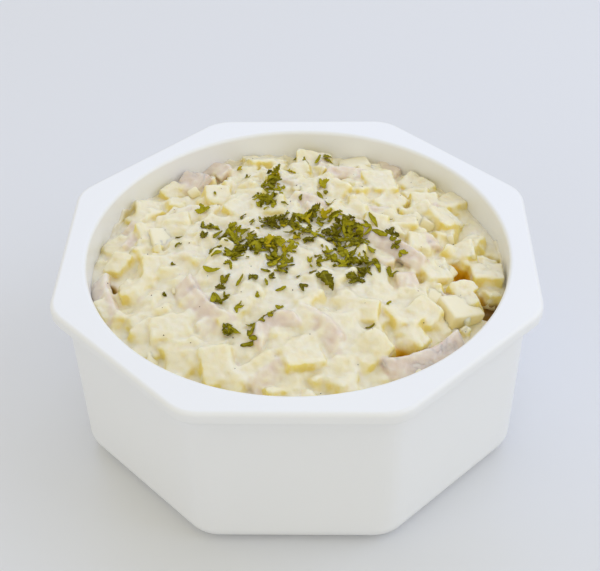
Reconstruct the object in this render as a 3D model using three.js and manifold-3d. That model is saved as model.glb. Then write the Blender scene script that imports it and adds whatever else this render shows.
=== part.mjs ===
// A bowl of potato salad: a white octagonal stoneware bowl with a round inside, filled with diced
// potato and strips of cooked ham in a creamy dressing, heaped in the middle under chopped parsley.
// Millimetres, +Z up. The origin is on the table under the bowl's centre; the front side faces -Y.
import * as THREE from "three";
import { mergeVertices } from "three/addons/utils/BufferGeometryUtils.js";
import Module from "manifold-3d";

const wasm = await Module();
wasm.setup();

// Bowl. Outside sizes are half the width across two flat sides, inside sizes are radii.
const RIM_HALF_WIDTH = 100;
const RIM_HEIGHT = 83;
const LIP_THICKNESS = 6.5;
const LIP_ROUND = 2;
const BODY_TOP_HALF_WIDTH = 94;
const BODY_FOOT_HALF_WIDTH = 92.5;
const FOOT_ROUND = 9;
const CORNER_ROUND = 16;
const SIDES = 8;
const STEPS_A_SIDE = 8;
const UNDER_LIP_COVE = 2;
const FOOT_RING_WIDTH = 7;
const FOOT_RECESS = 1.5;
const MOUTH_RADIUS = 89.5;
const MOUTH_ROUND = 1.8;
const WALL_DRAFT = 2.5;
const FLOOR_THICKNESS = 7;
const FLOOR_ROUND = 16;

// Salad. The mound's crown stands a little above the rim and its edge lies lower, at the wall.
const GAP = 0.55;
const EDGE_DROP = 12.5;
const CROWN_RISE = 1;
const MOUND_POWER = 2.2;
const DRESSING_DROP = 3.2;
const RIPPLE = 0.9;
const CORE_RINGS = 8;
const CORE_STEPS = 36;
const WALL_STEPS = 88;
const DIE_SIDE = 12;
const DIE_COUNT = 120;
const DIE_REACH = 82;
const DIE_SPACE = 9.5;
const DIE_SHAKE = 2;
const DIE_TIP = 22;
const DIE_SHARE_SUNK = 0.55;
const DIE_SHARE_TO_WALL = 0.62;
const HAM_TIP = 30;
const HAM_STEP = 7;
const HAM_SUNK = 2;
const HAM_SHARE_CLEAR = 0.8;
const LEAF_THICKNESS = 0.7;
const LEAF_POINTS = 6;
const LEAF_NARROWING = 0.6;
const LEAF_LIE = 0.8;
const HIGH_ABOVE = 60;
const GOLDEN_ANGLE = Math.PI * (3 - Math.sqrt(5));

// Dice that stand out: x, y, side, turn in degrees, rise above the usual level.
const PLAIN_DICE = [
  [35, 44, 15, 8, 1.5], [64, 37, 13.5, 40, 1.5], [72, 50, 12, 20, 0.5], [52, 24, 13, 15, 0.5],
  [76, -3, 14, 5, 1.5], [79, -16, 11, 80, -1.5], [66, -27, 14, 30, 1.5], [53, -34, 11, 50, 1],
  [59, -7, 14, 28, 0.5], [65, 12, 12, 70, 0], [57, 62, 12, 35, 0], [28, 74, 13, 12, 1],
  [-18, 78, 14, 25, 1], [-68, 44, 15, 18, 1], [-57, 24, 13, 3, 0.5], [-63, 60, 10, 50, 0],
  [-72, 2, 13, 60, 1], [-79, 13, 10, 20, 0], [-66, -18, 14, 15, 1.5], [-80, -26, 11, 40, 0],
  [-55, -44, 13, 10, 1], [-33, -63, 15, 12, 1.5], [-12, -71, 12, 35, 0], [4, -60, 13, 20, 1],
  [27, -54, 14, 24, 1.5], [42, -53, 10, 60, 0.5], [10, -72, 11, 50, 0], [-44, -12, 11, 33, 0],
  [5, 83, 12, 4, 1.5], [16, 45, 12, 48, 0],
];

// Ham strips: the two ends' x and y, width, thickness, bend sideways, and rise.
const HAM_STRIPS = [
  [16, 17, 53, -9, 8, 4, 2, 1.6], [37, -69, 67, -45, 10, 4, -4, 1.5],
  [-49, -17, -28, -46, 12, 4, -3, 0.2], [-15, -57, 0, -45, 6, 3.5, 5, 1.5],
  [-57, 66, -45, 57, 12, 5, 0, 1], [-45, 78, -35, 67, 8, 3, 2, 1],
  [12, 66, 42, 55, 8, 3.5, 3, 0], [1, -41, 17, -56, 8, 3.5, 2, 0],
  [-84, -8, -74, -36, 7, 3.5, -2, 0.5], [24, -62, 34, -44, 7, 3, 2, 0],
  [-16, -76, -4, -66, 7, 4, 0, -0.5], [36, 80, 46, 70, 7, 3, 1, 0.5],
  [-78, 28, -66, 16, 8, 3, 1, -0.5], [-4, 40, 10, 30, 8, 3, 2, -1],
];

// Parsley: the middle of each clump in x and y, its half length along x and y, and its leaves.
const PARSLEY_CLUMPS = [
  [-13, 51, 3, 7, 2], [-15, 34, 5, 6, 3], [-9, 17, 8, 5, 3], [8, 20, 8, 6, 4],
  [-27, 6, 9, 4, 3], [-13, -4, 12, 5, 5], [-7, -14, 6, 4, 2], [3, 6, 6, 5, 2],
  [20, 3, 9, 9, 5], [17, -12, 9, 5, 3], [27, -14, 4, 5, 1], [-30, -8, 7, 4, 2],
];

// Single leaves that fell wide of the clumps: x, y and length.
const PARSLEY_STRAYS = [
  [-70, 25, 5], [-44, 35, 8], [-39, 19, 7], [-52, 13, 5], [-28, 68, 5], [-4, 65, 7],
  [14, 82, 7], [13, 55, 8], [10, 43, 6], [23, 25, 9], [33, 19, 7], [41, 14, 7],
  [44, 1, 7], [40, -13, 6], [34, -13, 7], [25, -23, 7], [12, -24, 8], [4, -29, 6], [-33, -31, 9],
  [-22, -39, 5], [-13, -46, 8], [-16, -52, 5], [-28, -48, 5], [-36, -15, 6],
];

// A repeatable draw from 0 to 1 for each whole number.
function draw(n) {
  const wave = Math.sin(n * 12.9898) * 43758.5453;
  return wave - Math.floor(wave);
}

function spread(n, low, high) {
  return low + (high - low) * draw(n);
}

// Distance from the axis to an octagon with rounded corners, at an angle from the middle of a side.
function octagonReach(halfWidth, angle) {
  const halfSide = Math.PI / SIDES;
  const round = Math.min(CORNER_ROUND, halfWidth / 2);
  const across = Math.abs(angle);
  const flatEnd = Math.atan2((halfWidth - round) * Math.tan(halfSide), halfWidth);
  if (across <= flatEnd) return halfWidth / Math.cos(across);
  const centre = (halfWidth - round) / Math.cos(halfSide);
  const off = halfSide - across;
  return centre * Math.cos(off) + Math.sqrt(round ** 2 - (centre * Math.sin(off)) ** 2);
}

function arc(centreX, centreY, radius, from, to, steps) {
  const points = [];
  for (let i = 0; i <= steps; i += 1) {
    const angle = THREE.MathUtils.degToRad(from + ((to - from) * i) / steps);
    const x = centreX + radius * Math.cos(angle);
    points.push(new THREE.Vector2(x, centreY + radius * Math.sin(angle)));
  }
  return points;
}

// The bowl's outer profile, from the axis under the foot to the top of the rim.
function outerProfile() {
  const foot = BODY_FOOT_HALF_WIDTH - FOOT_ROUND;
  const ring = foot - FOOT_RING_WIDTH;
  const lipUnder = RIM_HEIGHT - LIP_THICKNESS;
  return [
    new THREE.Vector2(0, FOOT_RECESS),
    new THREE.Vector2(ring - FOOT_RECESS, FOOT_RECESS),
    new THREE.Vector2(ring, 0),
    ...arc(foot, FOOT_ROUND, FOOT_ROUND, -90, 0, 4),
    ...arc(BODY_TOP_HALF_WIDTH + UNDER_LIP_COVE, lipUnder - UNDER_LIP_COVE, UNDER_LIP_COVE, 180, 90, 1),
    ...arc(RIM_HALF_WIDTH - LIP_ROUND, lipUnder + LIP_ROUND, LIP_ROUND, -90, 0, 1),
    ...arc(RIM_HALF_WIDTH - LIP_ROUND, RIM_HEIGHT - LIP_ROUND, LIP_ROUND, 0, 90, 2),
  ];
}

// The round inside, from the rim down to the axis on the floor, smaller all over by `inset`.
function innerProfile(inset) {
  const floorRadius = MOUTH_RADIUS - WALL_DRAFT - FLOOR_ROUND;
  const round = FLOOR_ROUND - inset;
  const mouth = arc(MOUTH_RADIUS + MOUTH_ROUND, RIM_HEIGHT - MOUTH_ROUND, MOUTH_ROUND, 90, 180, 2);
  return [
    ...(inset ? [new THREE.Vector2(MOUTH_RADIUS - inset, RIM_HEIGHT - MOUTH_ROUND)] : mouth),
    ...arc(floorRadius, FLOOR_THICKNESS + FLOOR_ROUND, round, 0, -90, 3),
    new THREE.Vector2(0, FLOOR_THICKNESS + inset),
  ];
}

// Turns a lathe's even steps into steps that crowd at the corners, and its outer rings octagonal.
function makeOctagonal(lathe, outerCount, profileCount) {
  const positions = lathe.attributes.position;
  for (let i = 0; i < positions.count; i += 1) {
    const step = Math.floor(i / profileCount);
    const side = Math.floor(step / STEPS_A_SIDE);
    const along = ((step % STEPS_A_SIDE) / STEPS_A_SIDE) * 2 - 1;
    const angle = (Math.PI / SIDES) * Math.sin((along * Math.PI) / 2);
    const reach = Math.hypot(positions.getX(i), positions.getZ(i));
    const outside = i % profileCount < outerCount;
    const radius = outside && reach > 0 ? octagonReach(reach, angle) : reach;
    const turn = -Math.PI / 2 + (side * 2 * Math.PI) / SIDES + angle;
    positions.setXYZ(i, radius * Math.cos(turn), radius * Math.sin(turn), positions.getY(i));
  }
  return lathe;
}

function bowlGeometry() {
  const outer = outerProfile();
  const profile = [...outer, ...innerProfile(0)];
  const lathe = new THREE.LatheGeometry(profile, SIDES * STEPS_A_SIDE);
  return makeOctagonal(lathe, outer.length, profile.length);
}

// A closed geometry as a solid that can be joined and cut.
function solidFrom(geometry) {
  const bare = geometry.index ? geometry.toNonIndexed() : geometry.clone();
  bare.deleteAttribute("normal");
  bare.deleteAttribute("uv");
  const merged = mergeVertices(bare, 1e-3);
  return new wasm.Manifold(
    new wasm.Mesh({
      numProp: 3,
      vertProperties: merged.attributes.position.array,
      triVerts: new Uint32Array(merged.index.array),
    }),
  );
}

function geometryFrom(solid) {
  const mesh = solid.getMesh();
  const geometry = new THREE.BufferGeometry();
  geometry.setAttribute("position", new THREE.BufferAttribute(mesh.vertProperties, 3));
  geometry.setIndex(new THREE.BufferAttribute(mesh.triVerts, 1));
  geometry.computeVertexNormals();
  return geometry;
}

// The level that the tops of the dice reach, at a distance from the axis.
function moundHeight(x, y) {
  const out = Math.min(Math.hypot(x, y) / MOUTH_RADIUS, 1);
  return RIM_HEIGHT + CROWN_RISE - (EDGE_DROP + CROWN_RISE) * out ** MOUND_POWER;
}

// The dressing's own surface between the dice, in slow ripples.
function dressingHeight(x, y) {
  const ripple = Math.sin(x * 0.21 + 1.3) * Math.cos(y * 0.18) + Math.sin((x + y) * 0.13);
  return moundHeight(x, y) - DRESSING_DROP + (RIPPLE * ripple) / 2;
}

// The dressing fills the bowl from its floor to the mound, one gap inside the wall.
function coreGeometry() {
  const reach = MOUTH_RADIUS - GAP;
  const top = [];
  for (let i = CORE_RINGS; i >= 0; i -= 1) top.push(new THREE.Vector2((reach * i) / CORE_RINGS, RIM_HEIGHT));
  const wall = innerProfile(GAP).slice(1).reverse();
  const lathe = new THREE.LatheGeometry([...wall, ...top], CORE_STEPS).rotateX(Math.PI / 2);
  const positions = lathe.attributes.position;
  for (let i = 0; i < positions.count; i += 1) {
    const onTop = positions.getZ(i) === RIM_HEIGHT;
    if (onTop) positions.setZ(i, dressingHeight(positions.getX(i), positions.getY(i)));
  }
  return lathe;
}

// Everything that may hold salad: the inside less one gap, open far above the rim.
function roomSolid() {
  const profile = innerProfile(GAP).reverse();
  const ceiling = RIM_HEIGHT + HIGH_ABOVE;
  profile.push(new THREE.Vector2(MOUTH_RADIUS - GAP, ceiling), new THREE.Vector2(0, ceiling));
  return solidFrom(new THREE.LatheGeometry(profile, WALL_STEPS).rotateX(Math.PI / 2));
}

function farFromFeatures(x, y) {
  const clearOfDice = PLAIN_DICE.every(([dieX, dieY]) => Math.hypot(x - dieX, y - dieY) > DIE_SPACE);
  const clearOfHam = HAM_STRIPS.every(([fromX, fromY, toX, toY, width]) => {
    const line = new THREE.Line3(new THREE.Vector3(fromX, fromY, 0), new THREE.Vector3(toX, toY, 0));
    const here = new THREE.Vector3(x, y, 0);
    const nearest = line.closestPointToPoint(here, true, new THREE.Vector3());
    return nearest.distanceTo(here) > width * HAM_SHARE_CLEAR;
  });
  return clearOfDice && clearOfHam;
}

// The dice between the plain ones, laid out as seeds are in a sunflower and then shaken.
function fillerDice() {
  const dice = [];
  for (let k = 0; k < DIE_COUNT; k += 1) {
    const radius = DIE_REACH * Math.sqrt((k + 0.5) / DIE_COUNT);
    const angle = k * GOLDEN_ANGLE;
    const x = radius * Math.cos(angle) + spread(k * 7 + 1, -DIE_SHAKE, DIE_SHAKE);
    const y = radius * Math.sin(angle) + spread(k * 7 + 2, -DIE_SHAKE, DIE_SHAKE);
    const side = DIE_SIDE * spread(k * 7 + 3, 0.72, 1.12);
    const turn = spread(k * 7 + 4, 0, 90);
    const rise = spread(k * 7 + 5, -2, 1);
    if (farFromFeatures(x, y)) dice.push([x, y, side, turn, rise]);
  }
  return dice;
}

// One die, its sides a little unequal, tipped by a few degrees and sunk so that its top shows.
function dieGeometry([x, y, side, turn, rise], index) {
  const wide = side * spread(index * 5 + 301, 0.9, 1.15);
  const deep = side * spread(index * 5 + 302, 0.85, 1.05);
  const geometry = new THREE.BoxGeometry(wide, deep, side);
  const tilt = THREE.MathUtils.degToRad(spread(index * 5 + 303, -DIE_TIP, DIE_TIP));
  const lean = THREE.MathUtils.degToRad(spread(index * 5 + 304, -DIE_TIP, DIE_TIP));
  const pose = new THREE.Euler(tilt, lean, THREE.MathUtils.degToRad(turn), "ZYX");
  geometry.applyMatrix4(new THREE.Matrix4().makeRotationFromEuler(pose));
  const inward = Math.min(1, (MOUTH_RADIUS - side * DIE_SHARE_TO_WALL) / Math.hypot(x, y));
  const level = moundHeight(x * inward, y * inward) - side * DIE_SHARE_SUNK + rise;
  return geometry.translate(x * inward, y * inward, level);
}

// A strip cut from a slice of ham, bent sideways in a bow and draped along the mound.
function hamGeometry([fromX, fromY, toX, toY, width, thickness, bend, rise]) {
  const length = Math.hypot(toX - fromX, toY - fromY);
  const steps = Math.max(3, Math.round(length / HAM_STEP));
  const geometry = new THREE.BoxGeometry(length, width, thickness, steps, 1, 1);
  geometry.rotateX(THREE.MathUtils.degToRad(HAM_TIP));
  const turn = Math.atan2(toY - fromY, toX - fromX);
  const positions = geometry.attributes.position;
  for (let i = 0; i < positions.count; i += 1) {
    const along = positions.getX(i);
    const across = positions.getY(i) + bend * (1 - ((2 * along) / length) ** 2);
    const x = (fromX + toX) / 2 + along * Math.cos(turn) - across * Math.sin(turn);
    const y = (fromY + toY) / 2 + along * Math.sin(turn) + across * Math.cos(turn);
    positions.setXYZ(i, x, y, moundHeight(x, y) - HAM_SUNK + rise + positions.getZ(i));
  }
  return geometry;
}

// A leaf of chopped parsley: a lobed outline round its middle, wavy, with both faces cut alike.
function leafGeometry(length, index) {
  const geometry = new THREE.CylinderGeometry(length / 2, length / 2, LEAF_THICKNESS, LEAF_POINTS);
  geometry.rotateX(Math.PI / 2);
  const positions = geometry.attributes.position;
  for (let i = 0; i < positions.count; i += 1) {
    const x = positions.getX(i);
    const y = positions.getY(i);
    const onOutline = Math.hypot(x, y) > length / 4;
    const spoke = Math.round((Math.atan2(y, x) / (2 * Math.PI)) * LEAF_POINTS + LEAF_POINTS) % LEAF_POINTS;
    const lobe = spread(index * 11 + spoke + 5000, 0.5, 1.2);
    const wave = onOutline ? spread(index * 11 + spoke + 6000, -0.12, 0.2) * length : 0;
    positions.setXYZ(i, x * lobe, y * lobe * LEAF_NARROWING, positions.getZ(i) + wave);
  }
  return geometry;
}

function parsleyPlaces() {
  const places = [...PARSLEY_STRAYS];
  PARSLEY_CLUMPS.forEach(([middleX, middleY, reachX, reachY, count], clump) => {
    for (let k = 0; k < count; k += 1) {
      const radius = Math.sqrt((k + 0.5) / count);
      const angle = k * GOLDEN_ANGLE + clump;
      const x = middleX + reachX * radius * Math.cos(angle);
      const y = middleY + reachY * radius * Math.sin(angle);
      places.push([x, y, spread(clump * 100 + k + 900, 6, 10)]);
    }
  });
  return places;
}

// The heap with all that lies on it, as one solid.
function saladSolid() {
  const core = coreGeometry();
  const dice = [...PLAIN_DICE, ...fillerDice()].map(dieGeometry);
  const ham = HAM_STRIPS.map(hamGeometry);
  const bed = [core, ...dice, ...ham].map((geometry) => new THREE.Mesh(geometry));
  const up = new THREE.Vector3(0, 0, 1);
  const down = new THREE.Vector3(0, 0, -1);
  const leaves = parsleyPlaces().map(([x, y, length], index) => {
    const above = new THREE.Vector3(x, y, RIM_HEIGHT + HIGH_ABOVE);
    const [first] = new THREE.Raycaster(above, down).intersectObjects(bed, false);
    const leaf = leafGeometry(length, index).rotateZ(spread(index + 700, 0, Math.PI * 2));
    const facing = new THREE.Quaternion().setFromUnitVectors(up, first.face.normal);
    leaf.applyQuaternion(new THREE.Quaternion().slerp(facing, LEAF_LIE));
    return leaf.translate(x, y, first.point.z + LEAF_THICKNESS / 2);
  });
  const pieces = [core, ...dice, ...ham, ...leaves].map(solidFrom);
  const joined = wasm.Manifold.union(pieces).intersect(roomSolid());
  const bodies = joined.decompose();
  return bodies.reduce((largest, body) => (body.volume() > largest.volume() ? body : largest));
}

function bowl() {
  const glaze = new THREE.MeshStandardMaterial({ color: "#e9ecee", roughness: 0.25, metalness: 0 });
  const mesh = new THREE.Mesh(bowlGeometry(), glaze);
  mesh.name = "bowl";
  return mesh;
}

function potatoSalad() {
  const cream = new THREE.MeshStandardMaterial({ color: "#ece3bd", roughness: 0.45, metalness: 0 });
  const mesh = new THREE.Mesh(geometryFrom(saladSolid()), cream);
  mesh.name = "potato_salad";
  return mesh;
}

const part = new THREE.Group();
part.name = "bowl_of_potato_salad";
part.add(bowl(), potatoSalad());

export default part;
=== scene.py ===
# A bowl of potato salad: a white octagonal stoneware bowl, round inside, heaped with diced boiled
# potato and strips of cooked ham in a creamy dressing, under chopped parsley and a little pepper.
# Shapes are worked out in millimetres and turned to metres when their meshes are made.
import math
from collections import namedtuple
from functools import partial

import bmesh
import bpy
import numpy as np
from mathutils import Matrix, Vector
from mathutils.bvhtree import BVHTree


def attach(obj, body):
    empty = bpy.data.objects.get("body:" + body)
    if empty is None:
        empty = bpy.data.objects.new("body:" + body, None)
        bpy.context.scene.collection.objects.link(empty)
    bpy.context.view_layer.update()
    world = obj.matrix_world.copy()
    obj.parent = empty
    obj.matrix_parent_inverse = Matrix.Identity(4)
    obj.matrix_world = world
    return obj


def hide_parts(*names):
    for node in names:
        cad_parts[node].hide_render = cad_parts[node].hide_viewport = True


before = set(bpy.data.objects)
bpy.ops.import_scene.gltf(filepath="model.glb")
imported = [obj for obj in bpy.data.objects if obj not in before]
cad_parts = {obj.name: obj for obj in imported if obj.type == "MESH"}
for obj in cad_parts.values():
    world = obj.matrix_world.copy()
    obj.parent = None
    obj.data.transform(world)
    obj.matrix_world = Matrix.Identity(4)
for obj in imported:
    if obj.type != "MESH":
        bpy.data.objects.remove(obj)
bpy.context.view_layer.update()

MM = 0.001
GOLDEN_ANGLE = math.pi * (3 - math.sqrt(5))

# Bowl. Outside sizes are half the width across two flat sides, inside sizes are radii.
RIM_HALF_WIDTH = 100
RIM_HEIGHT = 83
LIP_THICKNESS = 6.5
LIP_ROUND = 2
BODY_TOP_HALF_WIDTH = 94
BODY_FOOT_HALF_WIDTH = 92.5
FOOT_ROUND = 9
CORNER_ROUND = 16
SIDES = 8
STEPS_A_SIDE = 24
UNDER_LIP_COVE = 2
FOOT_RING_WIDTH = 7
FOOT_RECESS = 1.5
FOOT_EDGE = 0.6
MOUTH_RADIUS = 89.5
MOUTH_ROUND = 1.8
WALL_DRAFT = 2.5
FLOOR_THICKNESS = 7
FLOOR_ROUND = 16

# Heap. The mound's crown stands a little above the rim and its edge lies lower, at the wall.
# A pair gives the least and the most that is drawn, and a die's length, width and size are shares.
WALL_OVERLAP = 0.6
EDGE_DROP = 12.5
CROWN_RISE = 1
MOUND_POWER = 2.2
DIE_SIDE = 12
DIE_COUNT = 150
DIE_REACH = 82
DIE_SPACE = 8.2
DIE_SHAKE = 2
DIE_TIP = 27
DIE_SHARE_SUNK = 0.55
DIE_SHARE_TO_WALL = 0.62
DIE_ROUND = 1.0
DIE_LENGTH = (0.8, 1.3)
DIE_WIDTH = (0.72, 1.1)
DIE_TAPER = 0.16
FILLER_SIZE = (0.72, 1.12)
FILLER_RISE = (-2.8, 1.4)
UNDER_DIE_COUNT = 120
UNDER_DIE_DEPTH = 2.6
UNDER_DIE_SHAKE = 1.8
UNDER_DIE_SIZE = (0.75, 1.1)
UNDER_DIE_TIP = 35
CHIP_COUNT = 230
CHIP_SIDE = (2.5, 8)
CHIP_ROUND = 0.8
CHIP_REACH = 86
CHIP_SHAKE = 4
CHIP_RISE = (-2.8, 0.2)
CHIP_TIP = 60
SLICE_OFF_PLAIN = (0.85, 1.4)
SLICE_OFF_OTHER = (0.7, 1.25)
SHRED_COUNT = 26
SHRED_HALF_LENGTH = (3, 6)
SHRED_WIDTH = (4, 7)
SHRED_THICKNESS = (2, 3.4)
SHRED_BEND = 2
SHRED_RISE = (-2.2, 0.2)
HAM_TIP = 30
HAM_SUNK = 2
HAM_SHARE_CLEAR = 0.8
HAM_ROUND = 0.9
HAM_COSINE = math.cos(math.radians(HAM_TIP))
HAM_SINE = math.sin(math.radians(HAM_TIP))
STRIP_DEPTH = 6
STRIP_ROOM = 6

# Dressing. It is deep and smooth near the middle, thinner towards the wall, and thinnest on the right.
# The pairs for its level's drop, film and creep are for where the salad is driest and wettest.
WET_MIDDLE = (-7, -20)
WET_REACH = 91
WET_MOST = 1.1
WET_PATCHES = 0.12
DRY_RIGHT = 0.3
DRY_FROM_TO = (15, 65)
LEVEL_DROP = (5.0, 1.9)
LEVEL_DROP_AT_WALL = 2
NEAR_WALL = (76, 87)
RIPPLE_HEIGHT = 0.45
FILM = (0.15, 0.85)
FILM_SHAKE = (-0.1, 0.15)
FILM_BARE = -1.1
BARE_SHARE = 0.16
FILM_LIFT = 0.4
FILM_UNEVEN = 0.22
CREEP = (0.42, 1.15)
LUMP_HEIGHT = 0.17
FOOD_NEAR = 4
GRID_CELL = 0.82
GRID_REACH = MOUTH_RADIUS + 2
GRID_LOW = 57
GRID_TOP = RIM_HEIGHT + 7

# Gaps that go deep between the dice: x, y, radius and how far the dressing drops there. The drop and
# the painted shade in the gap each fade out between two shares of the radius.
HOLLOWS = [
    (70, -6, 6.5, 7), (85, 6, 4, 5), (79.5, -24, 6.5, 9), (-83, -17, 5.5, 7), (44, -56, 4, 5),
]
HOLLOW_DROP_FADE = (0.5, 1.3)
HOLLOW_SHADE_FADE = (1, 1.7)

# Dressing smeared up the wall: the angle and half width of each smear in degrees, and its height.
SMEARS = [(153, 9, 6), (112, 7, 4), (99, 6, 3), (42, 5, 2.5), (10, 6, 4), (-62, 12, 2.5), (-130, 14, 2.5)]
SMEAR_THICKNESS = 1
SMEAR_SUNK = 3
SMEAR_FRINGE = 0.25

# Dice that stand out: x, y, side, turn in degrees, rise above the usual level.
PLAIN_DICE = [
    (36, 53, 13.5, 8, 3.2), (63, 29, 14, 42, 2), (71, 48, 13, 35, 1), (51, 10, 12.5, 15, 0.5),
    (81, -6, 13, 5, 1.5), (66, -30, 14, 30, 1.5), (52, -34, 11, 50, 1), (56, -10, 13.5, 28, 0.5),
    (69, -18, 10, 35, 1.5), (76, 14, 12, 60, 0.5), (60, 64, 12, 35, 0.5), (26, 77, 13, 12, 1),
    (-18, 79, 14, 25, 1), (-71, 45, 15, 18, 1), (-55, 23, 13, 3, 0.5), (-63, 60, 10, 50, 0),
    (-76, 1, 13, 60, 1), (-67, 19, 10, 30, 1), (-67, -20, 13, 15, 1.5), (-80, -27, 10, 40, 0),
    (-50, -44, 14, 10, 1), (-30, -64, 15, 12, 1.5), (-13, -66, 12, 35, 0), (2, -61, 13, 20, 1),
    (31, -56, 14, 35, 1.5), (47, -49, 9, 60, 0.5), (18, -73, 12, 50, 0), (-60, -7, 13, 8, 0.5),
    (5, 83, 12, 4, 1.5), (16, 45, 12, 48, 0), (-38, 45, 12, 12, 0.5), (72, -25, 9, 15, 1),
]

# Ham strips: the two ends' x and y, width, thickness, bend sideways, rise, and the film over them.
HAM_STRIPS = [
    (16, 17, 53, -9, 8, 4, 2, 1.6, 0.05), (36, -67, 67, -47, 9, 3.5, -4, 0.9, -0.1),
    (-47, -20, -27, -47, 9, 4, -3, 0.8, 0.15), (-15, -57, 0, -45, 6, 3.5, 5, 2.4, 0.05),
    (-57, 66, -45, 57, 12, 5, 0, 0.6, -0.1), (-45, 78, -35, 67, 8, 3, 2, 0.6, 0.3),
    (12, 66, 42, 58, 8, 3.5, 3, -0.3, 0.3), (1, -41, 17, -56, 8, 3.5, 2, 0.6, 0.2),
    (-84, -8, -74, -36, 7, 3.5, -2, 0.2, 0.4), (42, -20, 50, -18, 8, 4, 0, 0, 0.3),
    (-16, -76, -4, -66, 7, 4, 0, -0.8, 0.3), (36, 80, 46, 72, 7, 3, 1, 0.2, 0.05),
    (-78, 28, -66, 16, 8, 3, 1, -0.8, 0.3), (-4, 40, 10, 30, 8, 3, 2, -1.2, 0.3),
]

# Parsley. A leaflet is a grid of rows along it and columns across it.
LEAF_ROWS = 9
LEAF_COLUMNS = np.linspace(-1, 1, 5)
LEAF_THICKNESS = 0.25
LEAF_TOP = RIM_HEIGHT + 4.5
STALK_HALF_WIDTH = 0.22
LEAF_SLIM = (0.14, 0.22)
SHRED_SLIM = 0.1
TOOTHED_SLIM = 0.15
LEAF_CUT = (0.62, 1.25)
LEAF_TOOTH = 0.34
LEAF_FOLD = (-0.5, 0.7)
LEAF_CURL = (-0.3, 0.5)
LEAF_CRINKLE = 0.25
LEAF_SWAY = 0.35
LEAFLET_ANGLE = 58
LEAF_LENGTH = (3.2, 7.5)
BIT_LENGTH = (1.4, 3.6)
HEAP_HEIGHT = 1.8
STANDING_SHARE = 0.22
STANDING_ROLL = (50, 80)
LYING_ROLL = (-18, 18)
LEAF_LEAN = 14

# Parsley: the middle of each clump in x and y, its half length along x and y, and its leaves.
PARSLEY_CLUMPS = [
    (-13, 51, 3, 7, 9), (-15, 34, 4, 6, 10), (-9, 16, 7, 4, 9), (8, 20, 9, 5, 14),
    (-26, 8, 6, 5, 8), (-13, -3, 11, 5, 25), (-7, -13, 4, 5, 7), (4, 6, 7, 4, 8),
    (21, 5, 8, 9, 26), (17, -10, 9, 4, 13), (27, -12, 4, 4, 5), (-27, -7, 3, 7, 4),
]
PARSLEY_BITS = 14

# Pepper grains, each a little longer than it is wide and high.
GRAIN_COUNT = 70
GRAIN_REACH = 80
GRAIN_SHAKE = 5
GRAIN_SIZE = (0.18, 0.38)
GRAIN_SHAPE = (1, 0.7, 0.6)

# Leaves that fell wide of the clumps: x, y, length, turn, and leaflets (1 is a slender shred).
PARSLEY_STRAYS = [
    (-36, -18, 8, -40, 1), (-30, -21, 6, 80, 2), (-23, -25, 5, 50, 1), (-17, -25, 7, -80, 2),
    (-12, -26, 5, -70, 1), (-9, -23, 5, -30, 2), (-6, -28, 5, 20, 1), (-31, -27, 6, -60, 2),
    (-33, -32, 9, 75, 1), (-31, -32, 8, 105, 1), (-30, -35, 6, -10, 1), (-28, -31, 3, 0, 3),
    (-15, -33, 3.5, 45, 2),
    (-22, -40, 4.5, -20, 3), (-26, -49, 5, 60, 3), (-24, -50, 6, -15, 1), (-14, -48, 7, -75, 3),
    (-9, -44, 5, 40, 3), (-6, -39, 5, 80, 2), (-16, -53, 6, 45, 3), (-18, -57, 7, 5, 1),
    (-13, -18, 4, -15, 1), (4, -29, 7, -50, 2), (7, -19, 4, -30, 2), (9, -22, 3.5, 90, 2),
    (13, -26, 12, -70, 2), (24, -23, 7, -110, 3), (1, -20, 2, 0, 2), (38, -35, 2.5, 0, 2),
    (30, -45, 4, 15, 1), (34, -12, 11, -65, 1), (40, -14, 7, 60, 2), (32, -3, 6, -50, 2),
    (41, 4, 4, 40, 2), (43, -1, 5, -40, 3), (45, -4, 4, -20, 3), (36, 7, 9, -20, 1), (41, 13, 6, 70, 3),
    (33, 17, 9, -60, 1), (23, 21, 13, 70, 2), (14, 35, 6, 60, 2), (10, 41, 7, -50, 1),
    (12, 42, 5, -65, 1), (13, 51, 9, -20, 2), (1, 38, 3, 50, 2), (-6, 30, 4, -10, 1),
    (-43, 31, 7, 90, 3), (-39, 18, 7.5, 45, 3), (-37, 16, 4.5, 200, 3), (-40, 9, 5, 60, 2),
    (-35, 10, 6, 60, 1), (-24, 21, 3, 0, 3), (-35, -1, 5, 0, 3), (-33, -8, 7, 30, 1),
    (-70, 25, 5, 20, 1), (-52, 13, 4, 40, 2), (-51, 4, 3, -30, 3), (-28, 68, 4, 10, 2), (-4, 65, 5, 20, 3),
    (3, 75, 5, 40, 2), (14, 82, 7, 20, 2), (-52, -8, 3, 10, 2), (-54, -25, 3, 30, 2), (-24, 59, 4, 20, 1),
    (8, 78, 6, 60, 1), (-2, 88, 5, 40, 1), (-25, 62, 3, 70, 1), (40, 23, 2.5, 0, 1), (-38, 44, 2, 0, 2),
]


# ---------- repeatable draws and small shapes ----------

def draw(n):
    """A repeatable draw from 0 to 1 for each whole number. The number only tells the draws apart."""
    wave = np.sin(np.asarray(n, dtype=float) * 12.9898) * 43758.5453
    return wave - np.floor(wave)


def spread(n, low, high):
    return low + (high - low) * draw(n)


def blend(low, high, share):
    return low + (high - low) * share


def ease(low, high, value):
    """0 below low, 1 above high, and a smooth step between them."""
    share = np.clip((value - low) / (high - low), 0, 1)
    return share * share * (3 - 2 * share)


def lumps(points, wavelength, seed, waves=9):
    """Smooth uneven lumps from about -1 to 1: waves in many directions added up."""
    total = np.zeros(len(points))
    for wave in range(waves):
        number = seed * 100 + wave * 4
        along = np.array([spread(number + i, -1, 1) for i in range(3)])
        along *= 2 * math.pi / (wavelength * spread(number + 3, 0.7, 1.5) * np.linalg.norm(along))
        total += np.sin(points @ along + 2 * math.pi * draw(number + 5000))
    return total / math.sqrt(waves)


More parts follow.
